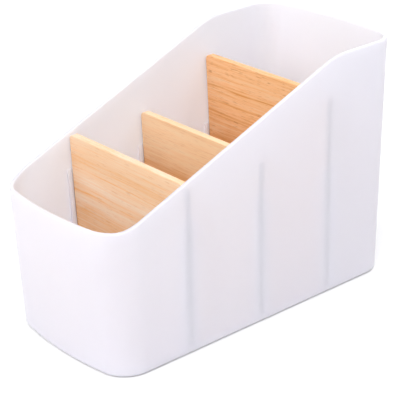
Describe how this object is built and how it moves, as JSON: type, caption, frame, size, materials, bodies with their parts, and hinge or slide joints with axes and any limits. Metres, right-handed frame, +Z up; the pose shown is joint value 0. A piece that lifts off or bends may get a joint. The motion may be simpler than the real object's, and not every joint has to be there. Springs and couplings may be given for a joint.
{
  "type": "pen holder",
  "caption": "Rectangular desk tub with bowed ends and a rim that slopes down to the front; upright wooden boards in it lift out and sort pens and small things.",
  "frame": {"origin": "centre of the bounding box in plan, on the surface that the pads stand on", "axes": "+Z up, +Y towards the tall back, +X to the right when seen from the low front"},
  "size_m": [0.1032, 0.205, 0.1398],
  "materials": {
    "tub_plastic": "white moulded plastic with a soft satin sheen, slightly translucent",
    "pale_wood": "pale yellow-brown wood with fine pores, grain running across the tub, thin clear finish",
    "orange_wood": "warmer orange-brown wood with fine dark pores, grain running across the tub, thin clear finish",
    "pad_rubber": "soft translucent grey rubber"
  },
  "bodies": {
    "tub_on_pads": {"tub": "tub_plastic", "foot_pad_front_left": "pad_rubber", "foot_pad_front_right": "pad_rubber", "foot_pad_rear_left": "pad_rubber", "foot_pad_rear_right": "pad_rubber"},
    "front_board": {"divider_front": "pale_wood"},
    "middle_board": {"divider_middle": "pale_wood"},
    "rear_board": {"divider_rear": "orange_wood"}
  },
  "joints": [
    {"name": "divider_front_lift", "type": "slide", "parent": "tub_on_pads", "child": "front_board", "axis": [0, 0, 1], "range_m": [0, 0.1]},
    {"name": "divider_middle_lift", "type": "slide", "parent": "tub_on_pads", "child": "middle_board", "axis": [0, 0, 1], "range_m": [0, 0.12]},
    {"name": "divider_rear_lift", "type": "slide", "parent": "tub_on_pads", "child": "rear_board", "axis": [0, 0, 1], "range_m": [0, 0.14]}
  ]
}
